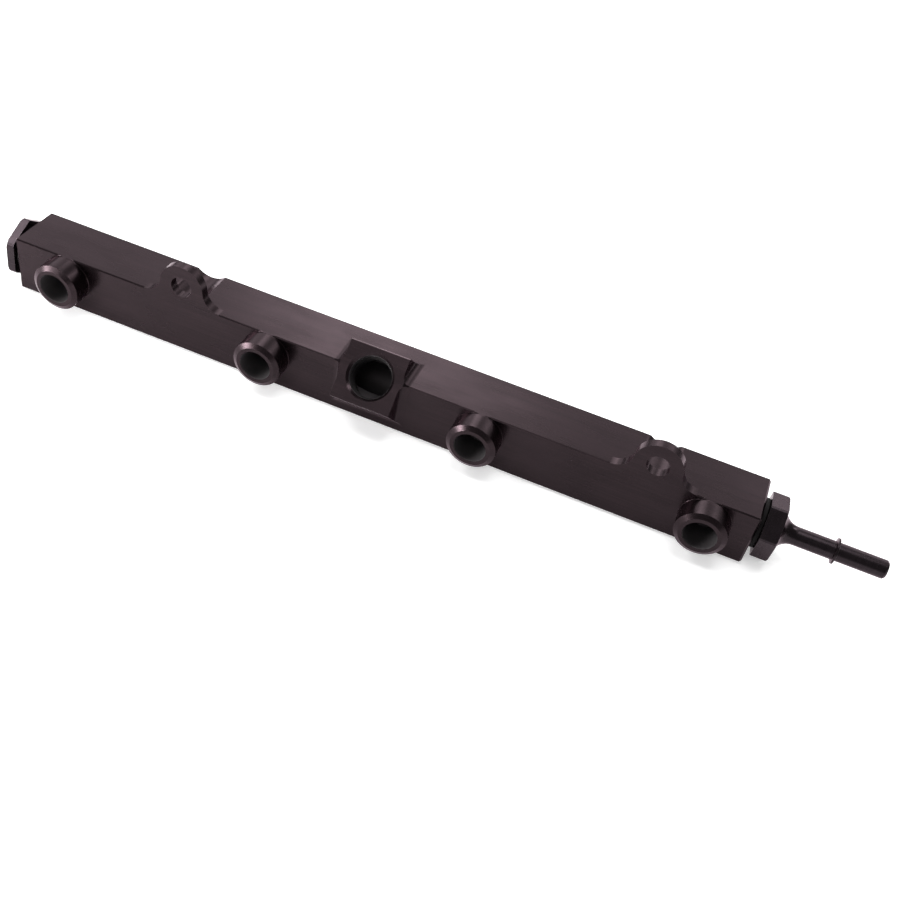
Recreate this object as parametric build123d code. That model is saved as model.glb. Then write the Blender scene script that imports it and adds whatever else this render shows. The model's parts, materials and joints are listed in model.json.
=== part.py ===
from build123d import *
import math
import os

# Fuel rail for a bank of four injectors. Millimetres and degrees.
# X runs along the rail towards the fuel inlet, Y from the injector face to the back, Z up.
# The origin is midway between the two fixing holes, on the injector face.

# The bar
BAR_SIDE = 25.4
BAR_LENGTH = 333.2
BAR_LEFT_OF_ROW = 169.4
EDGE_BREAK = 0.5
END_BREAK = 0.8

# The injector cups, in a row centred on ROW_X
ROW_X = -15.8
CUP_COUNT = 4
CUP_PITCH = 96.0
CUP_RADIUS = 10.55
CUP_REACH = 9.7
CUP_LIP_RADIUS = 8.55
CUP_BEVEL_LENGTH = 1.25
CUP_ROOT_FILLET = 0.5
CUP_ROOT_SINK = 0.1
CUP_ROOTED = 3.0
POCKET_RADIUS = 6.75
POCKET_MOUTH_RADIUS = 6.9
POCKET_LEAD_IN = 0.5
POCKET_DEPTH = 13.5
FEED_RADIUS = 3.8

# The fixing ears
EAR_SPACING = 207.9
EAR_RISE = 6.95
EAR_RADIUS = 10.0
EAR_THICKNESS = 4.0
EAR_HOLE_RADIUS = 4.7
EAR_FLARE = 7.7
EAR_ROOTED = 3.0
SCOOP_RADIUS = 9.8
SCOOP_EASE = 3.0

# The gallery, and the M18 x 1.5 ports with a sealing chamfer that open into it
GALLERY_RADIUS = 6.9
PORT_RADIUS = 9.0
PORT_MOUTH_RADIUS = 10.2
PORT_MOUTH_DEPTH = 1.2
PORT_DEPTH = 15.5
DRILL_POINT_DEPTH = 4.0

# The block of the middle port, whose face looks halfway between front and up
BLOCK_X = -16.15
BLOCK_WIDTH = 26.0
BLOCK_HEIGHT = 25.4
BLOCK_ROOTED = 19.0
BLOCK_SPARE = 10.0
BLOCK_STAND = 0.8
BLOCK_DROP = 1.8
BLOCK_TILT = 45.0
BLOCK_FILLET = 3.8
BLOCK_EDGE_BREAK = 0.7

# The seal and the threaded shank of both end fittings
SEAL_RADIUS = 10.45
SEAL_GAP = 2.2
SEAL_SEAT = 0.9
SEAL_EASE = 0.4
NECK_RADIUS = 8.0
NECK_END = 3.6
SHANK_RADIUS = 8.95
SHANK_END = 14.0
SHANK_BREAK = 0.9

# The hexagons
HEX_FLATS = 24.0
HEX_CORNER_RADIUS = 13.6
HEX_FACE_RADIUS = 13.0
HEX_CHAMFER_LENGTH = 0.45
PLUG_HEX_THICKNESS = 3.7
PLUG_HEX_TURN = 33.3
ADAPTOR_HEX_THICKNESS = 7.0
ADAPTOR_HEX_TURN = 45.4

# The inlet spigot, measured from the outer face of its hexagon
TUBE_RADIUS = 3.9
TUBE_BORE_RADIUS = 2.8
TUBE_LENGTH = 43.6
SPIGOT_ROOTED = 1.0
FLARE_FILLET = 7.0
BEAD_RADIUS = 5.4
BEAD_PLACE = 23.0
BEAD_LENGTH = 1.5
BEAD_SLOPE = 0.35
TIP_RADIUS = 3.3
TIP_LENGTH = 0.8
INNER_BORE_RADIUS = 5.3
INNER_BORE_DEPTH = 11.5
INNER_CONE_LENGTH = 2.5

# Places worked out from the sizes above
TOP_Z = -EAR_RISE
GALLERY_Y = BAR_SIDE / 2
GALLERY_Z = TOP_Z - BAR_SIDE / 2
CUP_Z = TOP_Z - CUP_RADIUS
LEFT_END_X = ROW_X - BAR_LEFT_OF_ROW
RIGHT_END_X = LEFT_END_X + BAR_LENGTH
CUP_PLACES = [ROW_X + CUP_PITCH * (i - (CUP_COUNT - 1) / 2) for i in range(CUP_COUNT)]
EAR_PLACES = [-EAR_SPACING / 2, EAR_SPACING / 2]
SINE = math.sin(math.radians(BLOCK_TILT))
COSINE = math.cos(math.radians(BLOCK_TILT))


def turned(*outline):
    """Turn a closed outline, drawn as radius and height in the XZ plane, about the Z axis."""
    return revolve(make_face(outline), Axis.Z)


def ring_of_lines(points):
    """A closed outline of straight lines through pairs of radius and height."""
    return Polyline([(radius, 0, height) for radius, height in points], close=True)


def front_plane(x, z):
    """A plane at a point of the injector face, looking out of it."""
    return Plane(origin=(x, 0, z), x_dir=(1, 0, 0), z_dir=(0, -1, 0))


def end_plane(x, outward):
    """A plane on the gallery's axis at one end of the bar, looking out of the bar."""
    return Plane(origin=(x, GALLERY_Y, GALLERY_Z), x_dir=(0, outward, 0), z_dir=(outward, 0, 0))


def block_plane():
    """The face of the middle port's block, centred on the port."""
    y = -BLOCK_DROP * COSINE - BLOCK_STAND * SINE
    z = TOP_Z - BLOCK_DROP * SINE + BLOCK_STAND * COSINE
    return Plane(origin=(BLOCK_X, y, z), x_dir=(1, 0, 0), z_dir=(0, -SINE, COSINE))


def bar():
    """The square bar, with its long edges broken and its ends chamfered."""
    middle_x = (LEFT_END_X + RIGHT_END_X) / 2
    solid = Pos(middle_x, GALLERY_Y, GALLERY_Z) * Box(BAR_LENGTH, BAR_SIDE, BAR_SIDE)
    solid = chamfer(solid.edges().filter_by(Axis.X), EDGE_BREAK)
    ends = solid.faces().filter_by(Axis.X)
    return chamfer(ends.edges(), END_BREAK)


def is_block_foot(edge):
    """Whether an edge lies on the bar's surface, where the block meets it."""
    middle = edge.position_at(0.5)
    height = middle.Z - TOP_Z
    nearly = EDGE_BREAK / 10
    beside = abs(middle.X - BLOCK_X) > BLOCK_WIDTH / 2 + nearly
    if beside or edge.length > BLOCK_WIDTH + nearly:
        return False
    on_top = abs(height) < nearly and middle.Y > 0
    on_front = abs(middle.Y) < nearly and height < 0
    on_corner = abs(middle.Y - height - EDGE_BREAK) < nearly and 0 < middle.Y < EDGE_BREAK
    return on_top or on_front or on_corner


def add_block(solid):
    """Blend the middle port's block into the bar, then mill its face flat through the blends."""
    plane = block_plane()
    length = BLOCK_ROOTED + BLOCK_SPARE
    overlong = plane * Pos(0, 0, BLOCK_SPARE - length / 2) * Box(BLOCK_WIDTH, BLOCK_HEIGHT, length)
    solid = solid + overlong
    solid = fillet(solid.edges().filter_by(is_block_foot), BLOCK_FILLET)
    side = 2 * BLOCK_WIDTH
    solid -= plane * Pos(0, 0, BLOCK_SPARE) * Box(side, side, 2 * BLOCK_SPARE)
    face = solid.faces().filter_by(Axis(plane.origin, plane.z_dir)).sort_by_distance(plane.origin)[0]
    top_edge = face.edges().sort_by(Axis.Z)[-1]
    return chamfer(top_edge, BLOCK_EDGE_BREAK)


def ear():
    """An ear: a round head that flares into the bar's top edge, thick enough for one bolt."""
    flare_z = TOP_Z + EAR_FLARE
    foot_x = math.sqrt((EAR_RADIUS + EAR_FLARE) ** 2 - flare_z**2)
    touch = EAR_RADIUS / (EAR_RADIUS + EAR_FLARE)
    lean = math.atan2(foot_x, flare_z) / 2
    middle_x = foot_x - EAR_FLARE * math.sin(lean)
    middle_z = flare_z - EAR_FLARE * math.cos(lean)
    buried_z = TOP_Z - EAR_ROOTED
    right_touch = (touch * foot_x, touch * flare_z)
    left_touch = (-touch * foot_x, touch * flare_z)
    outline = [
        ThreePointArc(left_touch, (0, EAR_RADIUS), right_touch),
        ThreePointArc(right_touch, (middle_x, middle_z), (foot_x, TOP_Z)),
        Polyline((foot_x, TOP_Z), (foot_x, buried_z), (-foot_x, buried_z), (-foot_x, TOP_Z)),
        ThreePointArc((-foot_x, TOP_Z), (-middle_x, middle_z), left_touch),
    ]
    face = Plane.XZ * (make_face(outline) - Circle(EAR_HOLE_RADIUS))
    return extrude(face, EAR_THICKNESS, dir=(0, 1, 0))


def scoop():
    """The hollow behind an ear that clears the bolt's head, with its long edges eased."""
    ease_z = TOP_Z - SCOOP_EASE
    ease_x = math.sqrt((SCOOP_RADIUS + SCOOP_EASE) ** 2 - ease_z**2)
    touch = SCOOP_RADIUS / (SCOOP_RADIUS + SCOOP_EASE)
    lean = math.atan2(ease_x, -ease_z) / 2
    middle_x = ease_x - SCOOP_EASE * math.sin(lean)
    middle_z = ease_z + SCOOP_EASE * math.cos(lean)
    right_touch = (touch * ease_x, touch * ease_z)
    left_touch = (-touch * ease_x, touch * ease_z)
    outline = [
        ThreePointArc(left_touch, (0, -SCOOP_RADIUS), right_touch),
        ThreePointArc(right_touch, (middle_x, middle_z), (ease_x, TOP_Z)),
        Polyline((ease_x, TOP_Z), (ease_x, EAR_RADIUS), (-ease_x, EAR_RADIUS), (-ease_x, TOP_Z)),
        ThreePointArc((-ease_x, TOP_Z), (-middle_x, middle_z), left_touch),
    ]
    face = Plane.XZ * make_face(outline)
    return Pos(0, EAR_THICKNESS, 0) * extrude(face, BAR_SIDE, dir=(0, 1, 0))


def cup():
    """One injector cup, rooted in the bar, with a bevelled mouth and a filleted root."""
    flare_radius = CUP_RADIUS + CUP_ROOT_FILLET
    bevel_z = CUP_REACH - CUP_BEVEL_LENGTH
    root_top = (CUP_RADIUS, 0, CUP_ROOT_FILLET - CUP_ROOT_SINK)
    root_foot = (flare_radius, 0, -CUP_ROOT_SINK)
    hollow = CUP_ROOT_FILLET * (1 - math.sqrt(0.5))
    root_middle = (CUP_RADIUS + hollow, 0, hollow - CUP_ROOT_SINK)
    body = Polyline(
        root_foot,
        (flare_radius, 0, -CUP_ROOTED),
        (0, 0, -CUP_ROOTED),
        (0, 0, CUP_REACH),
        (CUP_LIP_RADIUS, 0, CUP_REACH),
        (CUP_RADIUS, 0, bevel_z),
        root_top,
    )
    root = ThreePointArc(root_top, root_middle, root_foot)
    return turned(body, root)


def cup_bore():
    """The injector's pocket, and the hole that feeds it from the gallery."""
    points = [
        (0, CUP_REACH),
        (POCKET_MOUTH_RADIUS, CUP_REACH),
        (POCKET_RADIUS, CUP_REACH - POCKET_LEAD_IN),
        (POCKET_RADIUS, CUP_REACH - POCKET_DEPTH),
        (FEED_RADIUS, CUP_REACH - POCKET_DEPTH - (POCKET_RADIUS - FEED_RADIUS)),
        (FEED_RADIUS, -GALLERY_Y),
        (0, -GALLERY_Y),
    ]
    return turned(ring_of_lines(points))


def port():
    """A threaded port cut inwards from its mouth: sealing chamfer, bore and drill point."""
    points = [
        (0, 0),
        (PORT_MOUTH_RADIUS, 0),
        (PORT_RADIUS, -PORT_MOUTH_DEPTH),
        (PORT_RADIUS, -PORT_DEPTH),
        (0, -PORT_DEPTH - DRILL_POINT_DEPTH),
    ]
    return turned(ring_of_lines(points))


def rail_body():
    """The rail itself, machined from one bar: cups, ears, middle block, gallery and ports."""
    solid = add_block(bar())
    above = Pos((LEFT_END_X + RIGHT_END_X) / 2, 0, TOP_Z + BAR_SIDE / 2)
    trim = above * Box(BAR_LENGTH, 4 * CUP_REACH, BAR_SIDE)
    for x in CUP_PLACES:
        solid += front_plane(x, CUP_Z) * cup() - trim
    for x in EAR_PLACES:
        solid -= Pos(x, 0, 0) * scoop()
    for x in EAR_PLACES:
        solid += Pos(x, 0, 0) * ear()
    solid -= Pos(0, GALLERY_Y, GALLERY_Z) * Rot(0, 90, 0) * Cylinder(GALLERY_RADIUS, 2 * BAR_LENGTH)
    for x in CUP_PLACES:
        solid -= front_plane(x, CUP_Z) * cup_bore()
    solid -= end_plane(LEFT_END_X, -1) * port()
    solid -= end_plane(RIGHT_END_X, 1) * port()
    solid -= block_plane() * port()
    return solid


def hexagon(thickness, turn):
    """A hexagon cut from round stock and chamfered on its outer face, standing clear of the bar."""
    points = [
        (0, 0),
        (HEX_CORNER_RADIUS, 0),
        (HEX_CORNER_RADIUS, thickness - HEX_CHAMFER_LENGTH),
        (HEX_FACE_RADIUS, thickness),
        (0, thickness),
    ]
    prism = extrude(RegularPolygon(HEX_FLATS / 2, 6, major_radius=False, rotation=turn), thickness)
    return Pos(0, 0, SEAL_GAP) * (prism & turned(ring_of_lines(points)))


def shank():
    """The undercut neck that the seal sits on, and the shank that screws into a port."""
    points = [
        (0, SEAL_GAP),
        (NECK_RADIUS, SEAL_GAP),
        (NECK_RADIUS, -NECK_END + SHANK_BREAK),
        (SHANK_RADIUS, -NECK_END),
        (SHANK_RADIUS, -SHANK_END + SHANK_BREAK),
        (SHANK_RADIUS - SHANK_BREAK, -SHANK_END),
        (0, -SHANK_END),
    ]
    return turned(ring_of_lines(points))


def seal():
    """The rubber ring squeezed between a hexagon, the neck and the chamfer of its port."""
    points = [
        (PORT_MOUTH_RADIUS, 0),
        (PORT_MOUTH_RADIUS - SEAL_SEAT, -SEAL_SEAT),
        (NECK_RADIUS + SEAL_EASE, -SEAL_SEAT),
        (NECK_RADIUS, -SEAL_SEAT + SEAL_EASE),
        (NECK_RADIUS, SEAL_GAP - SEAL_EASE),
        (NECK_RADIUS + SEAL_EASE, SEAL_GAP),
        (SEAL_RADIUS - SEAL_EASE, SEAL_GAP),
        (SEAL_RADIUS, SEAL_GAP - SEAL_EASE),
        (SEAL_RADIUS, SEAL_EASE),
    ]
    return turned(ring_of_lines(points))


def spigot():
    """The inlet tube: a flare out of the hexagon, a retaining bead and a bevelled tip."""
    flare_radius = TUBE_RADIUS + FLARE_FILLET
    flare_sink = FLARE_FILLET * (1 - math.sqrt(0.5))
    bead_start = BEAD_PLACE - BEAD_LENGTH / 2
    bead_end = BEAD_PLACE + BEAD_LENGTH / 2
    flare = ThreePointArc(
        (flare_radius, 0, 0), (TUBE_RADIUS + flare_sink, 0, flare_sink), (TUBE_RADIUS, 0, FLARE_FILLET)
    )
    tube = Polyline(
        (TUBE_RADIUS, 0, FLARE_FILLET),
        (TUBE_RADIUS, 0, bead_start),
        (BEAD_RADIUS, 0, bead_start + BEAD_SLOPE),
        (BEAD_RADIUS, 0, bead_end - BEAD_SLOPE),
        (TUBE_RADIUS, 0, bead_end),
        (TUBE_RADIUS, 0, TUBE_LENGTH - TIP_LENGTH),
        (TIP_RADIUS, 0, TUBE_LENGTH),
        (0, 0, TUBE_LENGTH),
        (0, 0, -SPIGOT_ROOTED),
        (flare_radius, 0, -SPIGOT_ROOTED),
        (flare_radius, 0, 0),
    )
    return turned(flare, tube)


def spigot_bore(length):
    """The way through the adaptor, wide in the shank and narrow in the tube."""
    cone_top = -SHANK_END + INNER_BORE_DEPTH + INNER_CONE_LENGTH
    points = [
        (0, -SHANK_END),
        (INNER_BORE_RADIUS, -SHANK_END),
        (INNER_BORE_RADIUS, -SHANK_END + INNER_BORE_DEPTH),
        (TUBE_BORE_RADIUS, cone_top),
        (TUBE_BORE_RADIUS, length),
        (0, length),
    ]
    return turned(ring_of_lines(points))


def end_plug():
    """The plug that closes the far end of the gallery."""
    return end_plane(LEFT_END_X, -1) * (shank() + hexagon(PLUG_HEX_THICKNESS, PLUG_HEX_TURN))


def inlet_adaptor():
    """The screwed-in fitting that the fuel hose clips on to."""
    hex_top = SEAL_GAP + ADAPTOR_HEX_THICKNESS
    solid = shank() + hexagon(ADAPTOR_HEX_THICKNESS, ADAPTOR_HEX_TURN)
    solid += Pos(0, 0, hex_top) * spigot()
    solid -= spigot_bore(hex_top + TUBE_LENGTH)
    return end_plane(RIGHT_END_X, 1) * solid


def main():
    """Write each piece of the rail to its own file."""
    os.makedirs("parts", exist_ok=True)
    pieces = {
        "rail_body": rail_body(),
        "end_plug": end_plug(),
        "plug_seal": end_plane(LEFT_END_X, -1) * seal(),
        "inlet_adaptor": inlet_adaptor(),
        "adaptor_seal": end_plane(RIGHT_END_X, 1) * seal(),
    }
    for name, solid in pieces.items():
        export_step(solid, f"parts/{name}.step")


main()
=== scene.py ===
import json
import math

import bpy
from mathutils import Euler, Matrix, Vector


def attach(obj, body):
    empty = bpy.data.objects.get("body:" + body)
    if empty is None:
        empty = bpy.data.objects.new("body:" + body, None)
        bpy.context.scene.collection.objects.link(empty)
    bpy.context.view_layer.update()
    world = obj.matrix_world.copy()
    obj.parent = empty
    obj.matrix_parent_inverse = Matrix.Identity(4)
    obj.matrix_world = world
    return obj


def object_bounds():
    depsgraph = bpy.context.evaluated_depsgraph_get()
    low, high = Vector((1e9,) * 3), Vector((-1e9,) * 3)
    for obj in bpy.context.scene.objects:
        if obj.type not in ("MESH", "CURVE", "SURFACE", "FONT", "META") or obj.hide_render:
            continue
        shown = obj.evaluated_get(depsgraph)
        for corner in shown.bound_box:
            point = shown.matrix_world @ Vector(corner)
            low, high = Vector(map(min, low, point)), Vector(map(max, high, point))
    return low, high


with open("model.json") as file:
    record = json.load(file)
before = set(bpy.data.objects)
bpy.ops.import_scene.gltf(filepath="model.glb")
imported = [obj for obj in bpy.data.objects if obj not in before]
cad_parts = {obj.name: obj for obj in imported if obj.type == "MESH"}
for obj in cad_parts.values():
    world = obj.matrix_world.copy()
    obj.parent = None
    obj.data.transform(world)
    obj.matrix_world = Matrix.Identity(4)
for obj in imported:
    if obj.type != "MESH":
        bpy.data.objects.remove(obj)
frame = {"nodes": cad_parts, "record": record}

bl_info = {
    "name": "Fuel rail finish",
    "version": (1, 0, 0),
    "blender": (4, 5, 0),
    "location": "View3D > Sidebar > Fuel rail",
    "description": "Finishes a machined fuel rail and its end fittings, and lights them on a plain floor",
    "category": "Object",
}

CAD_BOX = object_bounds()
MM = 0.001


# Places that come from the frame, and sizes of the rail round them

def mount(name):
    """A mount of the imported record, by its name."""
    return next(m for m in frame["record"]["mounts"] if m["name"] == name)


PORT = mount("middle_port")
PORT_AXIS = Vector(PORT["axis"])
PORT_UP = (0, PORT_AXIS.z, -PORT_AXIS.y)
PORT_TILT = math.atan2(-PORT_AXIS.y, PORT_AXIS.z)
PORT_RADIUS = PORT["dims"]["r_mm"] * MM
PORT_HALF_LENGTH = PORT["dims"]["length_mm"] * MM / 2
PORT_WALL_TOP = Vector(PORT["pos_m"]) + PORT_AXIS * PORT_HALF_LENGTH
PORT_CHAMFER_DEPTH = 1.2 * MM
PORT_FACE = PORT_HALF_LENGTH + PORT_CHAMFER_DEPTH
BLOCK_HALF_HEIGHT = 12.7 * MM
BLOCK_HALF_WIDTH = 13 * MM
BLOCK_EDGE_WIDTH = 0.4 * MM
POCKETS = [mount(f"injector_pocket_{i}") for i in (1, 2, 3, 4)]
GALLERY_PLACE = mount("inlet_spigot")["pos_m"]
GALLERY_RADIUS = 6.9 * MM

# How far the bores' dull finish reaches past their walls, and below their middles
PORT_MARGIN = 0.05 * MM
BORE_MARGIN = 0.1 * MM
PORT_REACH = 20 * MM
POCKET_REACH = 15 * MM
WHOLE_RAIL = 1000 * MM


# Colour and nodes

MATH = "ShaderNodeMath"
VECTOR_MATH = "ShaderNodeVectorMath"
MAP_RANGE = "ShaderNodeMapRange"


def linear(hex_colour):
    """An sRGB hex colour as linear red, green, blue and alpha."""
    parts = [int(hex_colour[i:i + 2], 16) / 255 for i in (1, 3, 5)]
    return [c / 12.92 if c <= 0.04045 else ((c + 0.055) / 1.055) ** 2.4 for c in parts] + [1.0]


def add_node(tree, kind, inputs=None, output=0, **settings):
    """Add a node, set or link its inputs, and return one output, or all of them if output is None."""
    node = tree.nodes.new(kind)
    for name, value in settings.items():
        setattr(node, name, value)
    for key, value in (inputs or {}).items():
        if isinstance(value, bpy.types.NodeSocket):
            tree.links.new(value, node.inputs[key])
        else:
            node.inputs[key].default_value = value
    return node.outputs if output is None else node.outputs[output]


def new_material(name):
    """An empty node material, and its tree."""
    material = bpy.data.materials.new(name)
    material.use_nodes = True
    material.node_tree.nodes.clear()
    return material, material.node_tree


def marks(tree, place, size, detail):
    """A random pattern whose marks are size = (x, y, z) metres across."""
    scaled = add_node(tree, "ShaderNodeMapping", {"Vector": place, "Scale": [1 / s for s in size]})
    return add_node(tree, "ShaderNodeTexNoise", {"Vector": scaled, "Scale": 1.0, "Detail": detail}, "Fac")


def laid_over(tree, colour, pattern, low, high, hex_colour, most=1.0):
    """A colour with another laid over it, from none where a pattern is low to most where it is high."""
    share = add_node(tree, MAP_RANGE, {"Value": pattern, "From Min": low, "From Max": high, "To Max": most})
    return add_node(tree, "ShaderNodeMix", {0: share, 6: colour, 7: linear(hex_colour)}, 2, data_type="RGBA")


def edge_wear(tree, radius, most):
    """How far a point is rubbed, from 0 on a flat to most at a sharp edge."""
    rounded = add_node(tree, "ShaderNodeBevel", {"Radius": radius}, samples=6)
    true = add_node(tree, "ShaderNodeNewGeometry", output="Normal")
    likeness = add_node(tree, VECTOR_MATH, {0: rounded, 1: true}, "Value", operation="DOT_PRODUCT")
    return add_node(tree, MAP_RANGE, {"Value": likeness, "From Min": 0.99, "From Max": 0.8, "To Max": most})


def in_bore(tree, place, centre, axis, radius, depth):
    """1 inside a bore and 0 outside it, down to a depth below its centre."""
    offset = add_node(tree, VECTOR_MATH, {0: place, 1: centre}, operation="SUBTRACT")
    sideways = add_node(tree, VECTOR_MATH, {0: offset, 1: axis}, operation="CROSS_PRODUCT")
    across = add_node(tree, VECTOR_MATH, {0: sideways}, "Value", operation="LENGTH")
    along = add_node(tree, VECTOR_MATH, {0: offset, 1: axis}, "Value", operation="DOT_PRODUCT")
    near = add_node(tree, MATH, {0: across, 1: radius}, operation="LESS_THAN")
    above_end = add_node(tree, MATH, {0: along, 1: -depth}, operation="GREATER_THAN")
    return add_node(tree, MATH, {0: near, 1: above_end}, operation="MULTIPLY")


def in_any_bore(tree, place):
    """1 on the walls of the pockets, the middle port and the gallery, and 0 elsewhere."""
    bores = [(PORT["pos_m"], PORT_AXIS, PORT_RADIUS + PORT_MARGIN, PORT_REACH),
             (GALLERY_PLACE, (1, 0, 0), GALLERY_RADIUS + BORE_MARGIN, WHOLE_RAIL)]
    for pocket in POCKETS:
        radius = pocket["dims"]["r_mm"] * MM + BORE_MARGIN
        bores.append((pocket["pos_m"], pocket["axis"], radius, POCKET_REACH))
    inside = 0.0
    for bore in bores:
        inside = add_node(tree, MATH, {0: inside, 1: in_bore(tree, place, *bore)}, operation="MAXIMUM")
    return inside


def on_block_edge(tree, place):
    """1 along the upper edge of the middle port's block, where the painted highlight lies, and 0 elsewhere.
    """
    offset = add_node(tree, VECTOR_MATH, {0: place, 1: PORT["pos_m"]}, operation="SUBTRACT")
    along, up, sideways = (add_node(tree, VECTOR_MATH, {0: offset, 1: axis}, "Value", operation="DOT_PRODUCT")
                           for axis in (PORT_AXIS, PORT_UP, (1, 0, 0)))
    across = add_node(tree, MATH, {0: sideways}, operation="ABSOLUTE")
    at_face = add_node(tree, MATH, {0: along, 1: PORT_FACE - BLOCK_EDGE_WIDTH}, operation="GREATER_THAN")
    at_top = add_node(tree, MATH, {0: up, 1: BLOCK_HALF_HEIGHT - BLOCK_EDGE_WIDTH}, operation="GREATER_THAN")
    between = add_node(tree, MATH, {0: across, 1: BLOCK_HALF_WIDTH}, operation="LESS_THAN")
    edge = add_node(tree, MATH, {0: at_face, 1: at_top}, operation="MULTIPLY")
    return add_node(tree, MATH, {0: edge, 1: between}, operation="MULTIPLY")


def finish_surface(tree, inputs, relief, strength, depth):
    """End a material in one shader, with a relief whose slopes bend the reflections."""
    normal = add_node(tree, "ShaderNodeBump", {"Height": relief, "Strength": strength, "Distance": depth})
    shader = add_node(tree, "ShaderNodeBsdfPrincipled", {**inputs, "Normal": normal})
    add_node(tree, "ShaderNodeOutputMaterial", {"Surface": shader}, None)


# Materials

ROUGHNESS_SWING = 0.03


def anodised_aluminium(s):
    """Milled aluminium under a dark warm dye: cutter lines lie along the bar, edges are rubbed paler, and a
    painted highlight runs along the middle block's upper edge.
    """
    material, tree = new_material("anodised_aluminium")
    place = add_node(tree, "ShaderNodeTexCoord", output="Object")
    # Cutter lines, long in X and too fine to see singly from the camera, give the flats a brushed sheen
    lines = marks(tree, place, (60 * MM, 0.22 * MM, 0.22 * MM), 4.0)
    # The dye takes a little unevenly, which keeps the long flats from looking painted
    cloud = marks(tree, place, (22 * MM, 9 * MM, 9 * MM), 2.0)
    # The etch before anodising leaves a grain, drawn coarser than a real one's
    grain = marks(tree, place, (0.12 * MM,) * 3, 2.0)
    dyed = laid_over(tree, linear(s.colour), lines, 0.35, 0.65, s.line_colour)
    dyed = laid_over(tree, dyed, cloud, 0.35, 0.7, s.cloud_colour, 0.5)
    # A painted highlight: the upper edge of the middle block shows as a thin pale line, as light catching its
    # edge would
    on_block = add_node(tree, MATH, {0: on_block_edge(tree, place), 1: s.block_highlight}, operation="MULTIPLY")
    # The rubbed edges and the painted highlight on the block's upper edge share the pale worn colour
    wear = add_node(tree, MATH, {0: edge_wear(tree, s.edge, s.wear), 1: on_block}, operation="MAXIMUM")
    worn = add_node(tree, "ShaderNodeMix", {0: wear, 6: dyed, 7: linear(s.worn_colour)}, 2, data_type="RGBA")
    # The bores' walls look a dull even grey, with hardly any of the flats' metallic sheen
    bore = in_any_bore(tree, place)
    dull = linear(s.bore_colour)
    colour = add_node(tree, "ShaderNodeMix", {0: bore, 6: worn, 7: dull}, 2, data_type="RGBA")
    metallic = add_node(tree, MAP_RANGE, {"Value": bore, "To Min": s.metallic, "To Max": s.bore_metallic})
    bore_rough = add_node(tree, MATH, {0: bore, 1: s.bore_roughness}, operation="MULTIPLY")
    flat_rough = add_node(tree, MAP_RANGE, {
        "Value": cloud, "From Min": 0.3, "From Max": 0.7,
        "To Min": s.roughness - ROUGHNESS_SWING, "To Max": s.roughness + ROUGHNESS_SWING})
    rough = add_node(tree, MATH, {0: flat_rough, 1: bore_rough}, operation="MAXIMUM")
    line_relief = add_node(tree, MATH, {0: lines, 1: 0.7}, operation="MULTIPLY")
    grain_relief = add_node(tree, MATH, {0: grain, 1: 0.3}, operation="MULTIPLY")
    relief = add_node(tree, MATH, {0: line_relief, 1: grain_relief}, operation="ADD")
    # Even the glancing sheen keeps the dye's warm tint
    finish_surface(tree, {"Base Color": colour, "Metallic": metallic, "Roughness": rough,
                          "Specular Tint": linear(s.sheen_colour)}, relief, 0.35, 0.01 * MM)
    return material


def black_anodised_aluminium(s):
    """Turned aluminium dyed nearly black, with fine rings round the fitting's axis."""
    material, tree = new_material("black_anodised_aluminium")
    place = add_node(tree, "ShaderNodeTexCoord", output="Object")
    # Tool marks run round the axis, so they are thin in X and long across it
    rings = marks(tree, place, (0.15 * MM, 12 * MM, 12 * MM), 3.0)
    cloud = marks(tree, place, (5 * MM,) * 3, 2.0)
    dyed = laid_over(tree, linear(s.colour), rings, 0.35, 0.65, s.ring_colour)
    wear = edge_wear(tree, s.edge, s.wear)
    worn = add_node(tree, "ShaderNodeMix", {0: wear, 6: dyed, 7: linear(s.worn_colour)}, 2, data_type="RGBA")
    rough = add_node(tree, MAP_RANGE, {
        "Value": cloud, "From Min": 0.3, "From Max": 0.7,
        "To Min": s.roughness - ROUGHNESS_SWING, "To Max": s.roughness + ROUGHNESS_SWING})
    finish_surface(tree, {"Base Color": worn, "Metallic": s.metallic, "Roughness": rough,
                          "Specular Tint": linear(s.sheen_colour)}, rings, 0.25, 0.01 * MM)
    return material


def dyed_thread(s):
    """A cut and dyed thread: nearly black and dull, with a faint mottle from the tap."""
    material, tree = new_material("dyed_thread")
    place = add_node(tree, "ShaderNodeTexCoord", output="Object")
    # Chatter of the tap, a tenth of a millimetre across
    chatter = marks(tree, place, (0.1 * MM,) * 3, 2.0)
    dye, light = linear(s.colour), linear(s.light_colour)
    colour = add_node(tree, "ShaderNodeMix", {0: chatter, 6: dye, 7: light}, 2, data_type="RGBA")
    finish_surface(tree, {"Base Color": colour, "Roughness": 0.6, "Specular IOR Level": 0.1},
                   chatter, 0.2, 0.01 * MM)
    return material


def nitrile_rubber(s):
    """Moulded nitrile rubber: matt black with a faint grey bloom."""
    material, tree = new_material("nitrile_rubber")
    place = add_node(tree, "ShaderNodeTexCoord", output="Object")
    bloom = marks(tree, place, (1.5 * MM,) * 3, 3.0)
    skin = marks(tree, place, (0.2 * MM,) * 3, 2.0)
    colour = laid_over(tree, linear(s.colour), bloom, 0.4, 0.75, s.bloom_colour)
    finish_surface(tree, {"Base Color": colour, "Roughness": 0.7, "Specular IOR Level": 0.15},
                   skin, 0.3, 0.02 * MM)
    return material


def dress(node, material):
    """Give a CAD node one material all over."""
    mesh = frame["nodes"][node].data
    mesh.materials.clear()
    mesh.materials.append(material)


# The thread of the middle port. Its widths are parts of its pitch

CREST_HALF_WIDTH = 0.125
ROOT_HALF_WIDTH = 0.4375
SECTION_SIDES = 4
SECTION_STEP = 1 / SECTION_SIDES
FADE_TURNS = 0.5
STEPS_PER_TURN = 72


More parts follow.
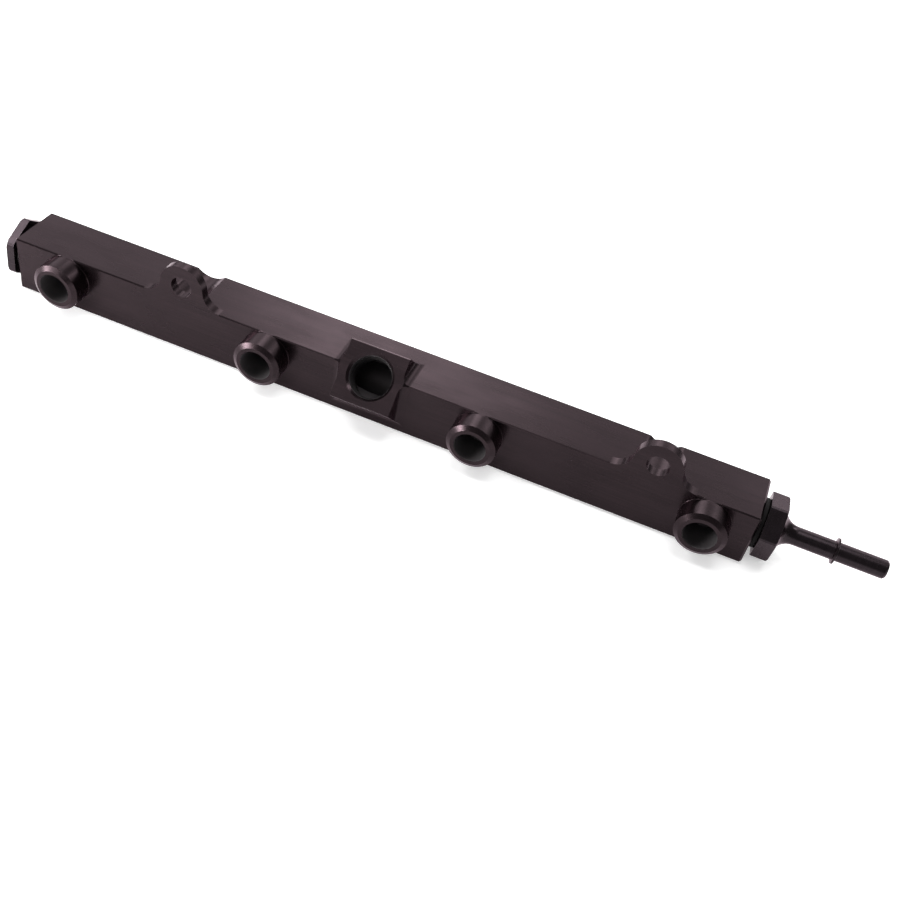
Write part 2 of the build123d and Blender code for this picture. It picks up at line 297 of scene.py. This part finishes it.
def thread_tree(material):
    """A Geometry Nodes tree that winds a closed right-hand ridge down a bore, run out at both ends."""
    tree = bpy.data.node_groups.new("internal_thread", "GeometryNodeTree")
    numbers = ("Root radius", "Crest radius", "Pitch", "Turns", "Fade turns", "Tilt")
    for name in numbers:
        tree.interface.new_socket(name, in_out="INPUT", socket_type="NodeSocketFloat")
    tree.interface.new_socket("Steps per turn", in_out="INPUT", socket_type="NodeSocketInt")
    tree.interface.new_socket("Place", in_out="INPUT", socket_type="NodeSocketVector")
    tree.interface.new_socket("Geometry", in_out="OUTPUT", socket_type="NodeSocketGeometry")
    given = add_node(tree, "NodeGroupInput", output=None)
    turns, root_radius = given["Turns"], given["Root radius"]
    # A grid stands for the ridge unrolled: X counts turns, and Y goes once round the ridge's section
    count = add_node(tree, MATH, {0: turns, 1: given["Steps per turn"]}, operation="MULTIPLY")
    grid = add_node(tree, "GeometryNodeMeshGrid", {
        "Size X": turns, "Size Y": 1.0, "Vertices X": count, "Vertices Y": SECTION_SIDES + 1})
    on_grid = add_node(tree, "GeometryNodeInputPosition")
    at = add_node(tree, "ShaderNodeSeparateXYZ", {"Vector": on_grid}, None)
    half_turns = add_node(tree, MATH, {0: turns, 1: 2.0}, operation="DIVIDE")
    turn = add_node(tree, MATH, {0: at["X"], 1: half_turns}, operation="ADD")
    # The ridge shrinks to nothing over the fade turns at each end
    left = add_node(tree, MATH, {0: turns, 1: turn}, operation="SUBTRACT")
    to_end = add_node(tree, MATH, {0: turn, 1: left}, operation="MINIMUM")
    faded = add_node(tree, MATH, {0: to_end, 1: given["Fade turns"]}, operation="DIVIDE")
    fade = add_node(tree, MATH, {0: faded, 1: 1.0}, operation="MINIMUM")
    # The section's corners are at Y = -0.5, -0.25, 0 and 0.25: root, crest, crest and root
    past_crest = add_node(tree, MATH, {0: at["Y"], 1: SECTION_STEP / 2}, operation="ADD")
    from_crest = add_node(tree, MATH, {0: past_crest}, operation="ABSOLUTE")
    on_crest = add_node(tree, MATH, {0: from_crest, 1: SECTION_STEP}, operation="LESS_THAN")
    past_upper = add_node(tree, MATH, {0: at["Y"], 1: SECTION_STEP / 2}, operation="SUBTRACT")
    from_upper = add_node(tree, MATH, {0: past_upper}, operation="ABSOLUTE")
    upper = add_node(tree, MATH, {0: from_upper, 1: SECTION_STEP}, operation="LESS_THAN")
    widening = ROOT_HALF_WIDTH - CREST_HALF_WIDTH
    narrowing = add_node(tree, MATH, {0: on_crest, 1: widening}, operation="MULTIPLY")
    half_width = add_node(tree, MATH, {0: ROOT_HALF_WIDTH, 1: narrowing}, operation="SUBTRACT")
    # The side is 1 on the upper half of the section, and -1 on the lower half
    doubled = add_node(tree, MATH, {0: upper, 1: 2.0}, operation="MULTIPLY")
    side = add_node(tree, MATH, {0: doubled, 1: 1.0}, operation="SUBTRACT")
    half_along = add_node(tree, MATH, {0: half_width, 1: side}, operation="MULTIPLY")
    along = add_node(tree, MATH, {0: half_along, 1: fade}, operation="MULTIPLY")
    full_height = add_node(tree, MATH, {0: root_radius, 1: given["Crest radius"]}, operation="SUBTRACT")
    height = add_node(tree, MATH, {0: full_height, 1: fade}, operation="MULTIPLY")
    rise = add_node(tree, MATH, {0: height, 1: on_crest}, operation="MULTIPLY")
    radius = add_node(tree, MATH, {0: root_radius, 1: rise}, operation="SUBTRACT")
    angle = add_node(tree, MATH, {0: turn, 1: -2 * math.pi}, operation="MULTIPLY")
    cosine = add_node(tree, MATH, {0: angle}, operation="COSINE")
    sine = add_node(tree, MATH, {0: angle}, operation="SINE")
    down = add_node(tree, MATH, {0: along, 1: turn}, operation="SUBTRACT")
    wound = add_node(tree, "ShaderNodeCombineXYZ", {
        "X": add_node(tree, MATH, {0: radius, 1: cosine}, operation="MULTIPLY"),
        "Y": add_node(tree, MATH, {0: radius, 1: sine}, operation="MULTIPLY"),
        "Z": add_node(tree, MATH, {0: given["Pitch"], 1: down}, operation="MULTIPLY")})
    ridge = add_node(tree, "GeometryNodeSetPosition", {"Geometry": grid, "Position": wound})
    closed = add_node(tree, "GeometryNodeMergeByDistance", {"Geometry": ridge, "Distance": 0.001 * MM})
    tilt = add_node(tree, "ShaderNodeCombineXYZ", {"X": given["Tilt"]})
    placed = add_node(tree, "GeometryNodeTransform", {
        "Geometry": closed, "Translation": given["Place"], "Rotation": tilt})
    real = add_node(tree, "GeometryNodeRealizeInstances", {"Geometry": placed})
    dressed = add_node(tree, "GeometryNodeSetMaterial", {"Geometry": real, "Material": material})
    add_node(tree, "NodeGroupOutput", {"Geometry": dressed}, None)
    return tree


def grown(name, tree, values):
    """A plain mesh object at the origin, made by a Geometry Nodes tree with the named values."""
    source = bpy.data.objects.new(name + "_source", bpy.data.meshes.new(name + "_source"))
    bpy.context.scene.collection.objects.link(source)
    modifier = source.modifiers.new("grow", "NODES")
    modifier.node_group = tree
    for item in tree.interface.items_tree:
        if item.in_out == "INPUT":
            modifier[item.identifier] = values[item.name]
    view = bpy.context.evaluated_depsgraph_get()
    mesh = bpy.data.meshes.new_from_object(source.evaluated_get(view))
    bpy.data.objects.remove(source)
    if not mesh.polygons:
        raise RuntimeError(f"{name} came out empty")
    mesh.name = name
    piece = bpy.data.objects.new(name, mesh)
    bpy.context.scene.collection.objects.link(piece)
    return piece


# The stage

RAIL_MIDDLE, PLUG_SIDE, PLUG = (0, 0.01, -0.02), (-0.15, 0, -0.02), (-0.18, 0.01, -0.02)
CAMERA_PLACE = Vector((95.473, -329.026, 280.630)) * MM
CAMERA_TURN = Euler([math.radians(a) for a in (46.5174, -9.101, 21.0422)])

# Name, direction, distance, width and height in metres, radiance, and the point that it is aimed at
PANELS = (
    ("back_panel_left", (-0.31, 0.73, 0.61), 1.5, 0.22, 0.5, 4.7, RAIL_MIDDLE),
    ("back_panel_middle", (-0.16, 0.75, 0.64), 1.5, 0.22, 0.5, 3.2, RAIL_MIDDLE),
    ("back_panel_right", (0.45, 0.75, 0.55), 1.5, 0.8, 0.6, 1.0, RAIL_MIDDLE),
    ("back_high_panel_right", (0.52, 0.5, 0.68), 1.5, 0.35, 0.35, 13.0, RAIL_MIDDLE),
    ("back_wall", (-0.2, 0.8, 0.5), 1.7, 2.6, 0.9, 1.85, RAIL_MIDDLE),
    ("back_low_panel", (-0.1, 0.95, 0.25), 1.5, 1.4, 0.4, 1.1, RAIL_MIDDLE),
    ("top_panel", (0, 0.1, 1), 1.5, 0.8, 0.8, 7.0, RAIL_MIDDLE),
    ("front_panel", (-0.16, -0.68, 0.716), 1.8, 0.8, 0.8, 1.8, RAIL_MIDDLE),
    ("plug_panel_low", (-0.6, -0.8, 0.12), 0.4, 0.3, 0.1, 50.0, PLUG_SIDE),
    ("plug_panel_high", (-0.526, -0.08, 0.84), 1.0, 0.3, 0.3, 13.0, PLUG),
)


def softbox(name, direction, distance, width, height, radiance, aim):
    """A soft rectangular light that looks at a point from a direction, with the same radiance all over."""
    towards = Vector(direction).normalized()
    light = bpy.data.lights.new(name, "AREA")
    light.shape = "RECTANGLE"
    light.size, light.size_y = width, height
    light.energy = radiance * math.pi * width * height
    lamp = bpy.data.objects.new(name, light)
    lamp.location = Vector(aim) + towards * distance
    lamp.rotation_euler = towards.to_track_quat("Z", "Y").to_euler()
    bpy.context.scene.collection.objects.link(lamp)


class RailFinish(bpy.types.PropertyGroup):
    """The finish of the machined rail."""

    colour: bpy.props.StringProperty(
        name="Colour", description="Hex colour of the dyed metal", default="#1f191b")
    line_colour: bpy.props.StringProperty(
        name="Line colour", description="Hex colour of the cutter lines", default="#292023")
    cloud_colour: bpy.props.StringProperty(
        name="Cloud colour", description="Hex colour where the dye took more", default="#1b1517")
    bore_colour: bpy.props.StringProperty(
        name="Bore colour", description="Hex colour of the bores' dull walls", default="#343233")
    # The worn colour also paints the highlight along the middle block's upper edge
    worn_colour: bpy.props.StringProperty(
        name="Worn colour", description="Hex colour of rubbed edges", default="#6d6265")
    sheen_colour: bpy.props.StringProperty(
        name="Sheen colour", description="Hex tint of glancing reflections", default="#f8eaf0")
    wear: bpy.props.FloatProperty(
        name="Wear", description="How far the edges are rubbed",
        default=0.1, min=0, max=1, subtype="FACTOR")
    # How strong the painted highlight along the middle block's upper edge is
    block_highlight: bpy.props.FloatProperty(
        name="Block highlight", description="How far the middle block's upper edge is rubbed",
        default=0.7, min=0, max=1, subtype="FACTOR")
    edge: bpy.props.FloatProperty(
        name="Edge width", description="How far from an edge the wear reaches",
        default=0.2 * MM, unit="LENGTH")
    bore_roughness: bpy.props.FloatProperty(
        name="Bore roughness", description="Roughness of the bores' walls",
        default=0.6, min=0, max=1, subtype="FACTOR")
    bore_metallic: bpy.props.FloatProperty(
        name="Bore metallic", description="How metallic the bores' walls look",
        default=0.2, min=0, max=1, subtype="FACTOR")
    roughness: bpy.props.FloatProperty(
        name="Roughness", description="Roughness of the milled flats",
        default=0.26, min=0, max=1, subtype="FACTOR")
    metallic: bpy.props.FloatProperty(
        name="Metallic", description="How metallic the dyed skin looks",
        default=0.9, min=0, max=1, subtype="FACTOR")


class FittingFinish(bpy.types.PropertyGroup):
    """The finish of the end plug and the inlet adaptor."""

    colour: bpy.props.StringProperty(
        name="Colour", description="Hex colour of the dyed metal", default="#201b1e")
    ring_colour: bpy.props.StringProperty(
        name="Ring colour", description="Hex colour of the turning marks", default="#282225")
    worn_colour: bpy.props.StringProperty(
        name="Worn colour", description="Hex colour of rubbed edges", default="#6b6367")
    sheen_colour: bpy.props.StringProperty(
        name="Sheen colour", description="Hex tint of glancing reflections", default="#f8eaf0")
    wear: bpy.props.FloatProperty(
        name="Wear", description="How far the edges are rubbed",
        default=0.4, min=0, max=1, subtype="FACTOR")
    edge: bpy.props.FloatProperty(
        name="Edge width", description="How far from an edge the wear reaches",
        default=0.2 * MM, unit="LENGTH")
    roughness: bpy.props.FloatProperty(
        name="Roughness", description="Roughness of the turned faces",
        default=0.28, min=0, max=1, subtype="FACTOR")
    metallic: bpy.props.FloatProperty(
        name="Metallic", description="How metallic the dyed skin looks",
        default=0.9, min=0, max=1, subtype="FACTOR")


class SealFinish(bpy.types.PropertyGroup):
    """The finish of the two rubber seals."""

    colour: bpy.props.StringProperty(
        name="Colour", description="Hex colour of the rubber", default="#0a0708")
    bloom_colour: bpy.props.StringProperty(
        name="Bloom colour", description="Hex colour of the rubber's bloom", default="#100c0d")


class PortThread(bpy.types.PropertyGroup):
    """The M18 x 1.5 thread in the middle port."""

    colour: bpy.props.StringProperty(
        name="Colour", description="Hex colour of the thread's dye", default="#0d0b0c")
    light_colour: bpy.props.StringProperty(
        name="Light colour", description="Hex colour of the tap's chatter", default="#1a1718")
    root_radius: bpy.props.FloatProperty(
        name="Root radius", description="Radius at the bottom of the thread",
        default=PORT_RADIUS, unit="LENGTH")
    crest_radius: bpy.props.FloatProperty(
        name="Crest radius", description="Radius at the thread's crest", default=8.19 * MM, unit="LENGTH")
    pitch: bpy.props.FloatProperty(
        name="Pitch", description="Distance from turn to turn", default=1.5 * MM, unit="LENGTH")
    turns: bpy.props.FloatProperty(
        name="Turns", description="Turns before the gallery opens into the port", default=4.2, min=1)
    start: bpy.props.FloatProperty(
        name="Start", description="Depth of the first turn below the sealing chamfer",
        default=2.4 * MM, unit="LENGTH")


class StageSettings(bpy.types.PropertyGroup):
    """The floor, the lights and the camera."""

    floor_colour: bpy.props.StringProperty(
        name="Floor colour", description="Hex colour of the floor", default="#f4f4f4")
    floor_glow: bpy.props.FloatProperty(
        name="Floor glow", description="Light that comes through the floor", default=0.4, min=0)
    room: bpy.props.FloatProperty(
        name="Room", description="Strength of the room's even light", default=0.28, min=0)
    lens: bpy.props.FloatProperty(
        name="Lens", description="Focal length in millimetres on a 36 mm sensor", default=44.185, min=1)


class RAIL_OT_dress_rail(bpy.types.Operator):
    """Give the machined rail its dark anodised finish"""

    bl_idname = "rail.dress_rail"
    bl_label = "Finish the rail"

    def execute(self, context):
        dress("rail_body", anodised_aluminium(context.scene.rail_finish))
        return {"FINISHED"}


class RAIL_OT_dress_fittings(bpy.types.Operator):
    """Give the end plug and the inlet adaptor their black anodised finish"""

    bl_idname = "rail.dress_fittings"
    bl_label = "Finish the fittings"

    def execute(self, context):
        material = black_anodised_aluminium(context.scene.fitting_finish)
        dress("end_plug", material)
        dress("inlet_adaptor", material)
        return {"FINISHED"}


class RAIL_OT_dress_seals(bpy.types.Operator):
    """Give the two seals their rubber finish"""

    bl_idname = "rail.dress_seals"
    bl_label = "Finish the seals"

    def execute(self, context):
        material = nitrile_rubber(context.scene.seal_finish)
        dress("plug_seal", material)
        dress("adaptor_seal", material)
        return {"FINISHED"}


class RAIL_OT_cut_thread(bpy.types.Operator):
    """Cut the thread of the middle port"""

    bl_idname = "rail.cut_thread"
    bl_label = "Cut the port's thread"

    def execute(self, context):
        s = context.scene.port_thread
        piece = grown("port_thread", thread_tree(dyed_thread(s)), {
            "Root radius": s.root_radius, "Crest radius": s.crest_radius, "Pitch": s.pitch, "Turns": s.turns,
            "Fade turns": FADE_TURNS, "Tilt": PORT_TILT, "Steps per turn": STEPS_PER_TURN,
            "Place": PORT_WALL_TOP - PORT_AXIS * (s.start + s.pitch / 2),
        })
        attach(piece, "root")
        return {"FINISHED"}


class RAIL_OT_stage(bpy.types.Operator):
    """Make the floor, the soft lights and the camera"""

    bl_idname = "rail.stage"
    bl_label = "Set the stage"

    def execute(self, context):
        s = context.scene.rail_stage
        self.floor(s)
        self.lights(s, context.scene)
        self.camera(s, context.scene)
        context.scene.view_settings.view_transform = "Standard"
        return {"FINISHED"}

    def floor(self, s):
        """A pale floor that glows a little, so that soft shadows stay faint on it."""
        bpy.ops.mesh.primitive_plane_add(size=6.0, location=(0, 0, CAD_BOX[0][2]))
        floor = bpy.context.object
        floor.name = "floor"
        material, tree = new_material("matt_white_acrylic")
        shader = add_node(tree, "ShaderNodeBsdfPrincipled", {
            "Base Color": linear(s.floor_colour), "Roughness": 1.0, "Specular IOR Level": 0.0,
            "Emission Color": linear("#ffffff"), "Emission Strength": s.floor_glow})
        add_node(tree, "ShaderNodeOutputMaterial", {"Surface": shader}, None)
        floor.data.materials.append(material)

    def lights(self, s, scene):
        """The room's even light and the soft panels round the rail."""
        world = bpy.data.worlds.new("studio")
        world.use_nodes = True
        background = world.node_tree.nodes["Background"]
        background.inputs["Color"].default_value = (1, 1, 1, 1)
        background.inputs["Strength"].default_value = s.room
        scene.world = world
        for panel in PANELS:
            softbox(*panel)

    def camera(self, s, scene):
        """The camera above the injector side, towards the inlet end."""
        camera = bpy.data.objects.new("camera", bpy.data.cameras.new("camera"))
        scene.collection.objects.link(camera)
        camera.data.sensor_width = 36.0
        camera.data.lens = s.lens
        camera.data.clip_start, camera.data.clip_end = 0.01, 50
        camera.location = CAMERA_PLACE
        camera.rotation_euler = CAMERA_TURN
        scene.camera = camera


class RAIL_PT_panel(bpy.types.Panel):
    """Lists the steps that finish the rail."""

    bl_idname = "RAIL_PT_panel"
    bl_label = "Fuel rail"
    bl_space_type = "VIEW_3D"
    bl_region_type = "UI"
    bl_category = "Fuel rail"

    def draw(self, context):
        for name, operators in STEPS:
            box = self.layout.box()
            settings = getattr(context.scene, name)
            for key in settings.bl_rna.properties.keys():
                if key not in ("rna_type", "name"):
                    box.prop(settings, key)
            for operator in operators:
                box.operator(operator.bl_idname)


STEPS = (
    ("rail_finish", (RAIL_OT_dress_rail,)),
    ("fitting_finish", (RAIL_OT_dress_fittings,)),
    ("seal_finish", (RAIL_OT_dress_seals,)),
    ("port_thread", (RAIL_OT_cut_thread,)),
    ("rail_stage", (RAIL_OT_stage,)),
)
SETTINGS = {"rail_finish": RailFinish, "fitting_finish": FittingFinish, "seal_finish": SealFinish,
            "port_thread": PortThread, "rail_stage": StageSettings}
CLASSES = (*SETTINGS.values(), RAIL_OT_dress_rail, RAIL_OT_dress_fittings, RAIL_OT_dress_seals,
           RAIL_OT_cut_thread, RAIL_OT_stage, RAIL_PT_panel)


def register():
    for item in CLASSES:
        bpy.utils.register_class(item)
    for name, group in SETTINGS.items():
        setattr(bpy.types.Scene, name, bpy.props.PointerProperty(type=group))


def unregister():
    for name in SETTINGS:
        delattr(bpy.types.Scene, name)
    for item in reversed(CLASSES):
        bpy.utils.unregister_class(item)


def main():
    """Make everything in order."""
    register()
    bpy.ops.rail.dress_rail()
    bpy.ops.rail.dress_fittings()
    bpy.ops.rail.dress_seals()
    bpy.ops.rail.cut_thread()
    bpy.ops.rail.stage()


if __name__ == "__main__":
    main()
